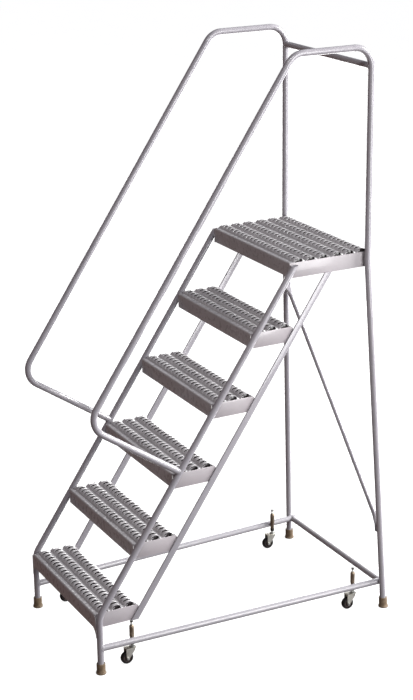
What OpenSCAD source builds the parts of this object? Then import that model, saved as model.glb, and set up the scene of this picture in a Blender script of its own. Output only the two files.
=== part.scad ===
// Mobile ladder stand: a rolling stair of five open-grip treads and a platform
// between two bent-tube side frames, on four rubber feet, with four
// spring-loaded swivel casters beside the base rails.
// Millimetres. The origin is on the floor, midway between the four feet.
// +X is right for someone climbing, +Y is the climbing direction, +Z is up.

/* [Overall] */
// Height of the platform's flat sheet above the floor
platform_h = 1524; // [1400:1:1650]
// Height of one step
rise = 255; // [240:1:262]
// How far each step lies behind the one below
run = 172.5; // [160:0.5:185]
// Distance between the centre lines of the two side frames
side_spacing = 635; // [560:1:760]
// Distance between the front and rear feet, centre to centre
base_len = 1260; // [1240:1:1320]

/* [Frame tubes] */
// Outside diameter of the round frame tubes
tube_d = 25.4; // [22:0.1:32]
// Wall thickness of the round frame tubes
tube_wall = 1.65; // [1.2:0.05:3]
// Height where each front leg bends into its stringer
leg_bend_h = 242; // [225:1:260]
// Centre-line radius of the bend between front leg and stringer
leg_bend_r = 90; // [70:1:120]
// Height where each rear leg starts to flare
flare_h = 1488; // [1300:1:1500]
// Sideways flare of each rear leg at the floor
flare_out = 67; // [0:1:90]
// Backward flare of each rear leg at the floor
flare_back = 68; // [20:1:90]
// Height of the base rails and the rear base crossbar
base_rail_h = 107; // [95:1:112]
// How far inside each rear leg its base rail ends
base_rail_inset = 22; // [20:1:26]

/* [Handrails] */
// Height of the top rails' centre line
handrail_h = 2322; // [2200:1:2450]
// Horizontal distance from each stringer forward to its sloping handrail
handrail_gap = 555; // [450:1:600]
// Height of the handrails' lower corner
handrail_low_h = 1027; // [950:1:1100]
// Centre-line radius of the handrail bends
handrail_bend_r = 76; // [60:1:90]
// Height of the crossbar between the rear legs, under the top rails
top_crossbar_h = 2248; // [2150:1:2250]

/* [Rear stringers and brace] */
// Horizontal distance from each tube stringer back to its flat rear stringer
rear_stringer_gap = 190; // [180:1:195]
// Width of the flat rear stringers
rear_stringer_w = 25.4; // [20:0.1:32]
// Thickness of the flat rear stringers
rear_stringer_t = 6.3; // [5:0.1:8]
// Height of the diagonal brace's upper end
brace_top_h = 1244; // [1100:1:1300]
// Height of the diagonal brace's lower end
brace_low_h = 349; // [300:1:420]
// Outside diameter of the diagonal brace
brace_d = 19; // [16:0.1:22]

/* [Treads] */
// Sheet thickness of the treads
sheet_t = 2; // [1.5:0.1:3]
// Depth of a tread, front to back
tread_depth = 184; // [180:1:195]
// Height of a tread's front flange
flange_h = 57; // [45:1:60]
// Height that the grip rows stand above the flat sheet
row_rise = 12; // [8:0.5:14]
// Width of one grip row, front to back
row_w = 48; // [40:1:48]
// Distance between neighbouring grip rows
row_pitch = 55.5; // [52:0.5:56]
// Distance from the nosing to the middle of the first grip row
first_row = 44; // [40:1:44]
// Number of open slots along a grip row
slot_count = 23; // [15:1:23]
// Distance between neighbouring slots
slot_pitch = 27; // [20:0.5:28]
// Width of a slot
slot_w = 11; // [8:0.5:12]
// Length of a slot, front to back
slot_len = 37; // [30:1:42]
// Thickness of the end plates that close the treads' sides
end_plate_t = 2.4; // [1.5:0.1:3]
// Height of the end plates
end_plate_h = 60; // [50:1:64]

/* [Feet] */
// Outside diameter of a rubber foot's sleeve
foot_sleeve_d = 35; // [32:0.5:38]
// Outside diameter of a rubber foot's base
foot_base_d = 41; // [38:0.5:46]
// Height of a rubber foot
foot_h = 44; // [38:1:50]

/* [Casters] */
// Distance from the front legs back to the front casters' stems
front_caster_y = 143; // [120:1:160]
// Distance from the front legs back to the rear casters' stems
rear_caster_y = 1140; // [1100:1:1160]
// Outside diameter of a spring housing
housing_d = 19; // [18:0.1:22]
// Height of a spring housing's lower end above the floor
housing_low_z = 82; // [80:1:84]
// Height of a spring housing's upper end above the floor
housing_top_z = 163; // [155:1:164]
// Diameter of the sliding stems
stem_d = 8; // [7:0.1:9]
// Diameter of the caster wheels
wheel_d = 50.8; // [44:0.1:54]
// Width of the caster wheels
wheel_w = 20; // [16:0.5:24]
// Gap under the wheels while the feet stand on the floor
wheel_gap = 3; // [1:0.5:6]
// How far the wheel's axle trails behind its stem
trail = 24; // [18:1:28]

/* [Hidden] */
$fn = 48;
side_x = side_spacing / 2;
tube_r = tube_d / 2;
front_y = -base_len / 2;
rear_y = base_len / 2 - flare_back;
slope = run / rise;
lean = atan(1 / slope);
inner_x = side_x - tube_r - 0.1;
nose_set = tube_r / sin(lean) + 4.7;
plank_half = inner_x - end_plate_t - 0.1;
rear_plank_depth = 174;
platform_depth = tread_depth + rear_plank_depth;
brace_tilt = atan(flare_back / flare_h);
leg_splay = atan(flare_out * cos(brace_tilt) / flare_h);
axle_z = wheel_gap + wheel_d / 2;
hub_r = 17;
fork_top_z = 70;
fork_t = 2.4;
fork_front = 31;
fork_back = 7;
gap = 0.1;
lap = 0.4;
flare_bend_r = 300;
nose_r = 6;
lip_h = 20;

// Height of tread i, counted from 1; number 6 is the platform.
function tread_z(i) = platform_h - rise * (6 - i);
// Position of the stringer's centre line at height z.
function stringer_y(z) = front_y + (z - leg_bend_h) * slope;
// Position of the nosing of tread i.
function nose_y(i) = stringer_y(tread_z(i)) - nose_set;
// Position of the sloping handrail's centre line at height z.
function handrail_y(z) = stringer_y(z) - handrail_gap;
// Sideways position of a flared rear leg's centre line at height z.
function rear_leg_x(z) = side_x + flare_out * max(0, flare_h - z) / flare_h;
// Front-to-back position of a flared rear leg's centre line at height z.
function rear_leg_y(z) = rear_y + flare_back * max(0, flare_h - z) / flare_h;
// Sideways position of a base rail's centre line at y.
function base_rail_x(y) =
  side_x + (rear_leg_x(base_rail_h) - base_rail_inset - side_x) * (y - front_y) / base_len;
// Sideways position of a caster's stem at y.
function stem_x(y) = base_rail_x(y) - tube_r - housing_d / 2 - gap;
// Direction of travel from point a to point b of a flat path.
function heading(a, b) = atan2(b[1] - a[1], b[0] - a[0]);
// Turn at a corner, from -180 to 180 degrees, positive to the left.
function turn(a, b, c) =
  let (t = heading(b, c) - heading(a, b))
  t > 180 ? t - 360 : (t < -180 ? t + 360 : t);
// Length that a bend of radius r takes from each side of corner i.
function bite(path, i, r) =
  i == 0 || i == len(path) - 1 ? 0 : r * tan(abs(turn(path[i - 1], path[i], path[i + 1])) / 2);

// A tube wall's section.
module ring(d, wall) {
  difference() {
    circle(d = d);
    circle(d = d - 2 * wall);
  }
}

// A round tube along a flat path of corners, bent to radius r at each corner.
// Each bend's wall is a hair thicker than the straights, which run into it.
module bent_tube(path, r, d, wall) {
  last = len(path) - 1;
  for (i = [0 : last - 1]) {
    a = heading(path[i], path[i + 1]);
    start = bite(path, i, r) - (i > 0 ? lap : 0);
    end = bite(path, i + 1, r) - (i + 1 < last ? lap : 0);
    length = norm(path[i + 1] - path[i]) - start - end;
    if (length > 2 * lap)
      translate([path[i][0] + start * cos(a), path[i][1] + start * sin(a), 0])
        rotate([0, 90, a])
          linear_extrude(length)
            ring(d, wall);
  }
  for (i = [1 : 1 : last - 1]) {
    t = turn(path[i - 1], path[i], path[i + 1]);
    a = heading(path[i - 1], path[i]);
    side = t > 0 ? 1 : -1;
    start = bite(path, i, r);
    centre = [
      path[i][0] - start * cos(a) - side * r * sin(a),
      path[i][1] - start * sin(a) + side * r * cos(a)
    ];
    translate([centre[0], centre[1], 0])
      rotate([0, 0, t > 0 ? a - 90 : heading(path[i], path[i + 1]) + 90])
        rotate_extrude(angle = abs(t))
          translate([r, 0])
            ring(d + 0.12, wall + 0.12);
  }
}

// A round rod or tube between two points in space.
module rod(p, q, d, wall) {
  v = q - p;
  translate(p)
    rotate([0, acos(v[2] / norm(v)), atan2(v[1], v[0])])
      linear_extrude(norm(v))
        if (wall > 0) {
          ring(d, wall);
        } else {
          circle(d = d);
        }
}

// Turns a flat drawing so that its x runs along +Y and its y runs along +Z.
module side_view(x) {
  translate([x, 0, 0])
    rotate([90, 0, 90])
      children();
}

// Path of a flared rear leg below its straight part, seen square to the flare.
function flare_path() =
  let (corner = [[0, flare_h + 200], [0, flare_h], [norm([flare_out, flare_back]), 0]])
  [[0, flare_h + bite(corner, 1, flare_bend_r)], corner[1], corner[2]];

// The lower, flared part of a rear leg, with its gentle bend; side is 1 or -1.
module flared_leg(side, d, wall) {
  translate([side * side_x, rear_y, 0])
    rotate([90, 0, atan2(flare_back, side * flare_out)])
      bent_tube(flare_path(), flare_bend_r, d, wall);
}

module front_stringer(side) {
  color([0.60, 0.59, 0.62])
    difference() {
      side_view(side * side_x)
        bent_tube(
          [
            [front_y, 8],
            [front_y, leg_bend_h],
            [stringer_y(platform_h + 30), platform_h + 30]
          ],
          leg_bend_r, tube_d, tube_wall
        );
      translate([side * side_x - 40, -base_len, platform_h - 8])
        cube([80, 2 * base_len, 100]);
    }
}

module rear_stringer(side) {
  low = tread_z(1) - end_plate_h - 1;
  high = platform_h - end_plate_h + 2;
  half = rear_stringer_w / 2 / sin(lean);
  inside = side > 0 ? inner_x + gap : -inner_x - gap - rear_stringer_t;
  color([0.57, 0.56, 0.60])
    side_view(inside)
      linear_extrude(rear_stringer_t)
        polygon([
          [stringer_y(low) + rear_stringer_gap - half, low],
          [stringer_y(low) + rear_stringer_gap + half, low],
          [stringer_y(high) + rear_stringer_gap + half, high],
          [stringer_y(high) + rear_stringer_gap - half, high]
        ]);
}

module handrail(side) {
  reach = handrail_gap * sin(lean);
  corner = [handrail_y(handrail_low_h), handrail_low_h];
  foot = [corner[0] + reach * sin(lean), corner[1] - reach * cos(lean)];
  color([0.62, 0.61, 0.64])
    difference() {
      union() {
        side_view(side * side_x)
          bent_tube(
            [
              foot,
              corner,
              [handrail_y(handrail_h), handrail_h],
              [rear_y, handrail_h],
              [rear_y, flare_path()[0][1] - lap]
            ],
            handrail_bend_r, tube_d, tube_wall
          );
        flared_leg(side, tube_d, tube_wall);
      }
      side_view(side * side_x)
        translate([foot[0], foot[1], 0])
          rotate([0, 90, lean])
            cylinder(d = tube_d + gap, h = 200, center = true);
      translate([side * (side_x + flare_out) - 60, rear_y, -60])
        cube([120, 200, 68]);
    }
}

module top_crossbar() {
  color([0.58, 0.56, 0.60])
    difference() {
      rod([-side_x, rear_y, top_crossbar_h], [side_x, rear_y, top_crossbar_h], tube_d, tube_wall);
      for (side = [-1, 1])
        translate([side * side_x, rear_y, top_crossbar_h - 50])
          cylinder(d = tube_d + 1.2, h = 100);
    }
}

module base_rail(side) {
  end_y = rear_leg_y(base_rail_h) + 17;
  color([0.68, 0.70, 0.74])
    difference() {
      rod(
        [side * base_rail_x(front_y), front_y, base_rail_h],
        [side * base_rail_x(end_y), end_y, base_rail_h],
        tube_d, tube_wall
      );
      translate([side * side_x, front_y, 0])
        cylinder(d = tube_d + gap, h = 200);
      rod(
        [side * rear_leg_x(0), rear_leg_y(0), 0],
        [side * rear_leg_x(400), rear_leg_y(400), 400],
        tube_d + gap, 0
      );
    }
}

module rear_base_crossbar() {
  y = rear_leg_y(base_rail_h) + 3;
  x = base_rail_x(y);
  color([0.58, 0.56, 0.60])
    difference() {
      rod([-x, y, base_rail_h], [x, y, base_rail_h], tube_d, tube_wall);
      for (side = [-1, 1])
        rod(
          [side * base_rail_x(y - 60), y - 60, base_rail_h],
          [side * base_rail_x(y + 60), y + 60, base_rail_h],
          tube_d + gap, 0
        );
    }
}

// Places parts in the plane of the two flared legs, with -Z running down it.
module leg_plane() {
  translate([0, rear_y, flare_h])
    rotate([brace_tilt, 0, 0])
      children();
}

// An end of the diagonal brace, at a leg's inner face, in the plane of the legs.
function brace_end(h, side) =
  let (s = (flare_h - h) / cos(brace_tilt))
  [side * (side_x + flare_out * (flare_h - h) / flare_h - tube_r - gap - 2.05), 0, -s];

// Direction down a flared leg, in the plane of the legs.
function leg_way(side) = [side * sin(leg_splay), 0, -cos(leg_splay)];

// A flattened end of the brace, bent to lie along its leg.
module brace_tab(p, side) {
  translate(p)
    rotate([0, -side * leg_splay, 0])
      difference() {
        translate([-2, -14, side > 0 ? -14 : -48])
          cube([4, 28, 62]);
        rotate([0, 90, 0])
          cylinder(d = 6.6, h = 10, center = true);
      }
}

module rear_brace() {
  top = brace_end(brace_top_h, -1);
  low = brace_end(brace_low_h, 1);
  inset = [brace_d / 2 - 3, 0, 0];
  color([0.58, 0.56, 0.60])
    leg_plane() {
      rod(top + 34 * leg_way(-1) + inset, low - 34 * leg_way(1) - inset, brace_d, 1.5);
      brace_tab(top, -1);
      brace_tab(low, 1);
    }
}

// A bolt through a brace tab, with its head towards the middle of the stand.
module brace_bolt(p, side) {
  translate(p)
    rotate([0, -side * (leg_splay + 90), 0])
      translate([0, 0, -2.05]) {
        cylinder(d = 6.4, h = 4.2);
        translate([0, 0, 4.15])
          cylinder(d = 12, h = 4, $fn = 6);
      }
}

module brace_bolts() {
  color([0.72, 0.72, 0.70])
    leg_plane() {
      brace_bolt(brace_end(brace_top_h, -1), -1);
      brace_bolt(brace_end(brace_low_h, 1), 1);
    }
}

// The sheet of a grip plank, seen from its end, before its rows are raised.
module plank_sheet(depth, front) {
  if (front > 0) {
    translate([0, -front])
      square([sheet_t, front - nose_r]);
    intersection() {
      translate([nose_r, -nose_r])
        difference() {
          circle(r = nose_r);
          circle(r = nose_r - sheet_t);
        }
      translate([0, -nose_r])
        square([nose_r, nose_r]);
    }
    translate([nose_r, -sheet_t])
      square([depth - nose_r, sheet_t]);
  } else {
    translate([0, -sheet_t])
      square([depth, sheet_t]);
    translate([0, -lip_h])
      square([sheet_t, lip_h]);
  }
  translate([depth - sheet_t, -lip_h])
    square([sheet_t, lip_h]);
}

// A disc whose top, row_rise up, is the back of grip row i.
module row_disc(row_1, i, inset) {
  arch_r = (row_w * row_w / 4 + row_rise * row_rise) / (2 * row_rise);
  translate([row_1 + i * row_pitch, row_rise - arch_r])
    circle(r = arch_r - inset);
}

// Section of a grip plank; front is the height of its front flange, 0 for none.
module plank_section(depth, row_1, front) {
  difference() {
    union() {
      plank_sheet(depth, front);
      for (i = [0 : 2])
        intersection() {
          row_disc(row_1, i, 0);
          translate([row_1 + i * row_pitch - row_w / 2, -sheet_t])
            square([row_w, row_rise + sheet_t]);
        }
    }
    for (i = [0 : 2])
      intersection() {
        row_disc(row_1, i, sheet_t);
        translate([row_1 + i * row_pitch - row_w / 2, -sheet_t - 1])
          square([row_w, row_rise + sheet_t]);
      }
  }
}

// One plan-view slot with pointed ends.
module slot_shape() {
  polygon([
    [-slot_w / 2, -slot_len / 2 + 9],
    [0, -slot_len / 2],
    [slot_w / 2, -slot_len / 2 + 9],
    [slot_w / 2, slot_len / 2 - 9],
    [0, slot_len / 2],
    [-slot_w / 2, slot_len / 2 - 9]
  ]);
}

// A grip plank with its nosing at the origin's height, three rows of slots.
module plank(depth, row_1, front) {
  difference() {
    side_view(-plank_half)
      linear_extrude(2 * plank_half)
        plank_section(depth, row_1, front);
    for (i = [0 : 2])
      translate([0, row_1 + i * row_pitch, -sheet_t - 1])
        linear_extrude(row_rise + sheet_t + 2)
          for (j = [0 : slot_count - 1])
            translate([(j - (slot_count - 1) / 2) * slot_pitch, 0])
              slot_shape();
  }
}

module tread(i) {
  color([0.62, 0.63, 0.66])
    translate([0, nose_y(i), tread_z(i)])
      plank(tread_depth, first_row, flange_h);
}

// Tread 1's flange runs on in front of a front leg, with a curved ear below it.
module flange_ear(side) {
  ear_x = side_x - 6.5;
  ear_r = 38;
  ear_low = -flange_h + 0.5 - ear_r;
  rotate([90, 0, 0])
    linear_extrude(sheet_t, center = true)
      mirror([side > 0 ? 0 : 1, 0]) {
        translate([plank_half - 1, -flange_h])
          square([ear_x - plank_half + 1, flange_h - nose_r]);
        difference() {
          translate([ear_x - 2 - ear_r, ear_low])
            square([ear_r + 2, ear_r + 1]);
          translate([ear_x - 2 - ear_r, ear_low])
            circle(r = ear_r);
        }
      }
}

module tread_1() {
  tread(1);
  color([0.55, 0.50, 0.51])
    for (side = [-1, 1])
      translate([0, nose_y(1) + sheet_t / 2, tread_z(1)])
        flange_ear(side);
}

module platform_front_plank() {
  tread(6);
}

module platform_rear_plank() {
  color([0.62, 0.63, 0.66])
    translate([0, nose_y(6) + tread_depth + gap, platform_h])
      plank(rear_plank_depth, first_row - 10, 0);
}

// Side outline of tread i's end plate.
module tread_end_outline(i) {
  top = tread_z(i);
  low = top - end_plate_h;
  polygon([
    [nose_y(i) + sheet_t + gap, low],
    [nose_y(i) + sheet_t + gap, top],
    [stringer_y(top) + 165, top],
    [stringer_y(top - 15) + 182, top - 15],
    [stringer_y(low) + rear_stringer_gap, low]
  ]);
}

module tread_end_plates(side) {
  color([0.60, 0.57, 0.60])
    for (i = [1 : 5])
      side_view(side > 0 ? inner_x - end_plate_t : -inner_x)
        linear_extrude(end_plate_t)
          tread_end_outline(i);
}

module platform_end_plate(side) {
  low = platform_h - end_plate_h;
  color([0.60, 0.57, 0.60])
    side_view(side > 0 ? inner_x - end_plate_t : -inner_x)
      linear_extrude(end_plate_t)
        polygon([
          [nose_y(6), low],
          [nose_y(6), platform_h],
          [nose_y(6) + platform_depth, platform_h],
          [nose_y(6) + platform_depth, low]
        ]);
}

module foot_shape() {
  cylinder(d = foot_base_d, h = 7);
  translate([0, 0, 7])
    cylinder(d1 = foot_base_d, d2 = foot_sleeve_d, h = 4);
  translate([0, 0, 11])
    cylinder(d = foot_sleeve_d, h = foot_h - 11);
}

module foot_front(side) {
  color([0.62, 0.54, 0.42])
    translate([side * side_x, front_y, 0])
      difference() {
        foot_shape();
        translate([0, 0, 7.9])
          cylinder(d = tube_d + gap, h = foot_h);
      }
}

module foot_rear(side) {
  color([0.62, 0.54, 0.42])
    difference() {
      translate([side * rear_leg_x(0), rear_leg_y(0), 0])
        foot_shape();
      difference() {
        rod(
          [side * rear_leg_x(0), rear_leg_y(0), 0],
          [side * rear_leg_x(200), rear_leg_y(200), 200],
          tube_d + gap, 0
        );
        translate([side * rear_leg_x(0) - 40, rear_leg_y(0) - 40, -20])
          cube([80, 80, 27.9]);
      }
    }
}

// Puts a caster's parts at their corner; end is -1 at the front, 1 at the rear.
module at_caster(end, side) {
  y = front_y + (end < 0 ? front_caster_y : rear_caster_y);
  translate([side * stem_x(y), y, 0])
    children();
}

module spring_housing() {
  color([0.55, 0.49, 0.42])
    rotate_extrude()
      polygon([
        [stem_d / 2 + 0.25, housing_low_z],
        [6.5, housing_low_z],
        [housing_d / 2, housing_low_z + 6],
        [housing_d / 2, housing_top_z - 4],
        [housing_d / 2 - 2, housing_top_z - 1],
        [6, housing_top_z],
        [6, housing_top_z + 3],
        [stem_d / 2 + 0.25, housing_top_z + 3],
        [stem_d / 2 + 0.25, housing_top_z - 4],
        [housing_d / 2 - 2, housing_top_z - 5],
        [housing_d / 2 - 2, housing_low_z + 8],
        [stem_d / 2 + 0.25, housing_low_z + 7]
      ]);
}

module stem() {
  color([0.66, 0.66, 0.64])
    rotate_extrude()
      polygon([
        [0, 61.5],
        [5.8, 61.5],
        [5.8, 64],
        [stem_d / 2, 64],
        [stem_d / 2, fork_top_z + 1.5],
        [11, fork_top_z + 1.5],
        [12, fork_top_z + 2.5],
        [12, fork_top_z + 5],
        [stem_d / 2, fork_top_z + 5],
        [stem_d / 2, housing_low_z + 19],
        [housing_d / 2 - 2.4, housing_low_z + 19],
        [housing_d / 2 - 2.4, housing_low_z + 22],
        [stem_d / 2, housing_low_z + 22],
        [stem_d / 2, 183],
        [stem_d / 2 - 1, 184],
        [0, 184]
      ]);
}

module stem_nut() {
  color([0.30, 0.29, 0.28])
    difference() {
      translate([0, 0, 177])
        cylinder(d = 13, h = 6, $fn = 6);
      translate([0, 0, 170])
        cylinder(d = stem_d + 0.06, h = 20);
    }
}

// The compression spring inside a housing, as a swept wire.
module spring() {
  turns = 7;
  steps = 12;
  sides = 5;
  wire = 0.95;
  coil = housing_d / 2 - 3.5;
  low = housing_low_z + 22 + wire + 0.1;
  high = housing_top_z - 5 - wire - 0.6;
  count = turns * steps;
  points = [
    for (i = [0 : count], j = [0 : sides - 1])
      let (a = 360 * i / steps, b = 360 * j / sides, r = coil + wire * cos(b))
      [r * cos(a), r * sin(a), low + (high - low) * i / count + wire * sin(b)]
  ];
  walls = [
    for (i = [0 : count - 1], j = [0 : sides - 1], half = [0, 1])
      let (
        a = i * sides + j,
        b = i * sides + (j + 1) % sides
      )
      half == 0 ? [a, b, b + sides] : [a, b + sides, a + sides]
  ];
  caps = [
    [for (j = [sides - 1 : -1 : 0]) j],
    [for (j = [0 : sides - 1]) count * sides + j]
  ];
  color([0.45, 0.45, 0.47])
    polyhedron(points, concat(walls, caps));
}

// Side outline of one of the fork's cheeks, round at the axle.
module fork_cheek_outline() {
  polygon([
    [fork_back, fork_top_z - fork_t],
    [fork_back, fork_top_z - 9],
    [-trail + 5.6, axle_z - 2],
    [-trail - 6, axle_z],
    [-fork_front, fork_top_z - fork_t]
  ]);
  translate([-trail, axle_z])
    circle(r = 6);
}

// The fork's top plate, straight at the wheel's side and round behind the stem.
module fork_top_plate(half) {
  translate([0, 0, fork_top_z - fork_t]) {
    translate([-half, -fork_front, 0])
      cube([2 * half, fork_front + fork_back, fork_t]);
    intersection() {
      cylinder(r = half + 2, h = fork_t);
      translate([-half, 0, 0])
        cube([2 * half, 2 * half, fork_t]);
    }
  }
}

module fork() {
  inside = wheel_w / 2 + 1.6;
  color([0.76, 0.74, 0.68])
    difference() {
      union() {
        for (x = [-inside - 2, inside])
          side_view(x)
            linear_extrude(2)
              fork_cheek_outline();
        fork_top_plate(inside + 2);
      }
      translate([0, 0, fork_top_z - 5])
        cylinder(d = stem_d + 0.12, h = 10);
      translate([0, -trail, axle_z])
        rotate([0, 90, 0])
          cylinder(d = 6.06, h = 100, center = true);
    }
}

module axle_bolt() {
  outside = wheel_w / 2 + 3.7;
  color([0.78, 0.78, 0.76])
    translate([0, -trail, axle_z])
      rotate([0, 90, 0]) {
        cylinder(d = 6, h = 2 * outside + 10, center = true);
        translate([0, 0, outside])
          cylinder(d = 10, h = 4, $fn = 6);
        translate([0, 0, -outside - 4.5])
          cylinder(d = 11, h = 4.5, $fn = 6);
      }
}

module hub() {
  color([0.22, 0.16, 0.15])
    translate([0, -trail, axle_z])
      rotate([0, 90, 0])
        rotate_extrude()
          polygon([
            [3.05, -wheel_w / 2 - 1],
            [7, -wheel_w / 2 - 1],
            [7, -wheel_w / 2 + 3],
            [14, -wheel_w / 2 + 3],
            [15, -wheel_w / 2 + 1],
            [hub_r, -wheel_w / 2 + 1],
            [hub_r, wheel_w / 2 - 1],
            [15, wheel_w / 2 - 1],
            [14, wheel_w / 2 - 3],
            [7, wheel_w / 2 - 3],
            [7, wheel_w / 2 + 1],
            [3.05, wheel_w / 2 + 1]
          ]);
}

module tyre() {
  color([0.06, 0.06, 0.06])
    translate([0, -trail, axle_z])
      rotate([0, 90, 0])
        rotate_extrude()
          polygon([
            [hub_r + 0.05, -wheel_w / 2 + 1],
            [hub_r + 1, -wheel_w / 2],
            [wheel_d / 2 - 3, -wheel_w / 2],
            [wheel_d / 2 - 1, -wheel_w / 2 + 1.4],
            [wheel_d / 2, -wheel_w / 2 + 4],
            [wheel_d / 2, wheel_w / 2 - 4],
            [wheel_d / 2 - 1, wheel_w / 2 - 1.4],
            [wheel_d / 2 - 3, wheel_w / 2],
            [hub_r + 1, wheel_w / 2],
            [hub_r + 0.05, wheel_w / 2 - 1]
          ]);
}

front_stringer(-1);  // front_stringer_left
front_stringer(1);  // front_stringer_right
rear_stringer(-1);  // rear_stringer_left
rear_stringer(1);  // rear_stringer_right
handrail(-1);  // handrail_left
handrail(1);  // handrail_right
top_crossbar();
base_rail(-1);  // base_rail_left
base_rail(1);  // base_rail_right
rear_base_crossbar();
rear_brace();
brace_bolts();
tread_1();
tread(2);  // tread_2
tread(3);  // tread_3
tread(4);  // tread_4
tread(5);  // tread_5
platform_front_plank();
platform_rear_plank();
tread_end_plates(-1);  // tread_end_plates_left
tread_end_plates(1);  // tread_end_plates_right
platform_end_plate(-1);  // platform_end_plate_left
platform_end_plate(1);  // platform_end_plate_right
foot_front(-1);  // foot_front_left
foot_front(1);  // foot_front_right
foot_rear(-1);  // foot_rear_left
foot_rear(1);  // foot_rear_right
at_caster(-1, -1) spring_housing();  // spring_housing_front_left
at_caster(-1, 1) spring_housing();  // spring_housing_front_right
at_caster(1, -1) spring_housing();  // spring_housing_rear_left
at_caster(1, 1) spring_housing();  // spring_housing_rear_right
at_caster(-1, -1) stem();  // stem_front_left
at_caster(-1, 1) stem();  // stem_front_right
at_caster(1, -1) stem();  // stem_rear_left
at_caster(1, 1) stem();  // stem_rear_right
at_caster(-1, -1) stem_nut();  // stem_nut_front_left
at_caster(-1, 1) stem_nut();  // stem_nut_front_right
at_caster(1, -1) stem_nut();  // stem_nut_rear_left
at_caster(1, 1) stem_nut();  // stem_nut_rear_right
at_caster(-1, -1) spring();  // spring_front_left
at_caster(-1, 1) spring();  // spring_front_right
at_caster(1, -1) spring();  // spring_rear_left
at_caster(1, 1) spring();  // spring_rear_right
at_caster(-1, -1) fork();  // fork_front_left
at_caster(-1, 1) fork();  // fork_front_right
at_caster(1, -1) fork();  // fork_rear_left
at_caster(1, 1) fork();  // fork_rear_right
at_caster(-1, -1) axle_bolt();  // axle_bolt_front_left
at_caster(-1, 1) axle_bolt();  // axle_bolt_front_right
at_caster(1, -1) axle_bolt();  // axle_bolt_rear_left
at_caster(1, 1) axle_bolt();  // axle_bolt_rear_right
at_caster(-1, -1) hub();  // hub_front_left
at_caster(-1, 1) hub();  // hub_front_right
at_caster(1, -1) hub();  // hub_rear_left
at_caster(1, 1) hub();  // hub_rear_right
at_caster(-1, -1) tyre();  // tyre_front_left
at_caster(-1, 1) tyre();  // tyre_front_right
at_caster(1, -1) tyre();  // tyre_rear_left
at_caster(1, 1) tyre();  // tyre_rear_right
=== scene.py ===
"""Looks of a mobile ladder stand: finishes, detailed meshes, floor, lights and camera."""
import math
import random
import bmesh
import bpy
from mathutils import Matrix, Vector


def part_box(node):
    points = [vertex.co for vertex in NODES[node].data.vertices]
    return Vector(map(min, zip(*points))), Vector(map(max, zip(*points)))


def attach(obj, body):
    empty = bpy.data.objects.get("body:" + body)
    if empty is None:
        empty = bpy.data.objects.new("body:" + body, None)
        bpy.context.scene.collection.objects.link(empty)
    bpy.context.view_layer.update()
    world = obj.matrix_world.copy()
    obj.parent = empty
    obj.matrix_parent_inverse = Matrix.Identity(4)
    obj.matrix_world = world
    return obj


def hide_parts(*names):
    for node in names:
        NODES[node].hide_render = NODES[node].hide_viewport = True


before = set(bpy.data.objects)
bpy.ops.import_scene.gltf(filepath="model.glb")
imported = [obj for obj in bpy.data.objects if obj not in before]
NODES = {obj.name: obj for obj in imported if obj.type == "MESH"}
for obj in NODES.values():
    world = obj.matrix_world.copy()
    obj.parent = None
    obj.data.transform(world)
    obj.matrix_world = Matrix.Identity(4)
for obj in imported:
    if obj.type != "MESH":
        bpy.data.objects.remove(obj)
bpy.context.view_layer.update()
SIDES = {"left": -1, "right": 1}
CORNERS = ("front_left", "front_right", "rear_left", "rear_right")
MM = 0.001

# Frame tubes and the lines that they follow
TUBE_R = 12.7 * MM
SIDE_X = 317.5 * MM
RISE = 255 * MM
RUN = 172.5 * MM
FLARE_H = 1488 * MM
FLARE_OUT = 67 * MM
FLARE_BACK = 68 * MM
FRONT_Y = -630 * MM
REAR_Y = 562 * MM
BEND_H = 242 * MM
RAIL_H = 107 * MM
RAIL_INSET = 22 * MM
HANDRAIL_LOW_H = 1027 * MM
HANDRAIL_GAP = 555 * MM
# Grip planks
SHEET = 2 * MM
ROW_RISE = 12 * MM
ROW_W = 50 * MM
ROW_PITCH = 55.5 * MM
ROWS = 3
FIRST_ROW = 44 * MM
REAR_FIRST_ROW = 34 * MM
SLOT_PITCH = 27 * MM
SLOT_COUNT = 23
SLOT_LEN = 37 * MM
SLOT_HALF = 6.4 * MM
WALL_LOW = -7 * MM
NOSE_R = 6 * MM
FLANGE_H = 57 * MM
LIP_H = 20 * MM
WALL_POWER = 0.35
RIM_DROP = 0.9 * MM
RIM_ROUND = 0.25 * MM
# Welds and the rear brace
WELD_R = 2.1 * MM
WELD_SEED = 11
BRACE_TAB_OFF = 2.05 * MM
BRACE_ROD_START = 34 * MM
BRACE_ROD_INSET = 6.5 * MM
# Colours shared by the painted parts
BARE_METAL = (0.55, 0.55, 0.56)
# Painted shade: the near-black that the slot walls are mixed to, in place of the shade inside the grip
# slots
SLOT_SHADE = (0.016, 0.011, 0.012)


# ---------------------------------------------------------------- mesh tools

def centre(node):
    """Middle of a CAD node's box."""
    low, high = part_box(node)
    return (low + high) / 2


def make_object(name, bm, smooth=40):
    """Turns a bmesh into a linked object whose edges under the given angle are smooth."""
    mesh = bpy.data.meshes.new(name)
    bmesh.ops.recalc_face_normals(bm, faces=bm.faces)
    bm.to_mesh(mesh)
    bm.free()
    obj = bpy.data.objects.new(name, mesh)
    bpy.context.scene.collection.objects.link(obj)
    if smooth:
        mesh.shade_smooth()
        mesh.set_sharp_from_angle(angle=math.radians(smooth))
    return obj


def apply_modifiers(obj):
    """Replaces an object's mesh by the one its modifiers make."""
    depsgraph = bpy.context.evaluated_depsgraph_get()
    mesh = bpy.data.meshes.new_from_object(obj.evaluated_get(depsgraph))
    obj.modifiers.clear()
    obj.data = mesh


def finish_piece(obj, body, slot, *nodes):
    """Gives a piece its slot's finish, its body and the CAD nodes that it stands for."""
    obj.data.materials.clear()
    obj.data.materials.append(MATERIALS[slot])
    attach(obj, body)
    if nodes:
        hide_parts(*nodes)


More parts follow.
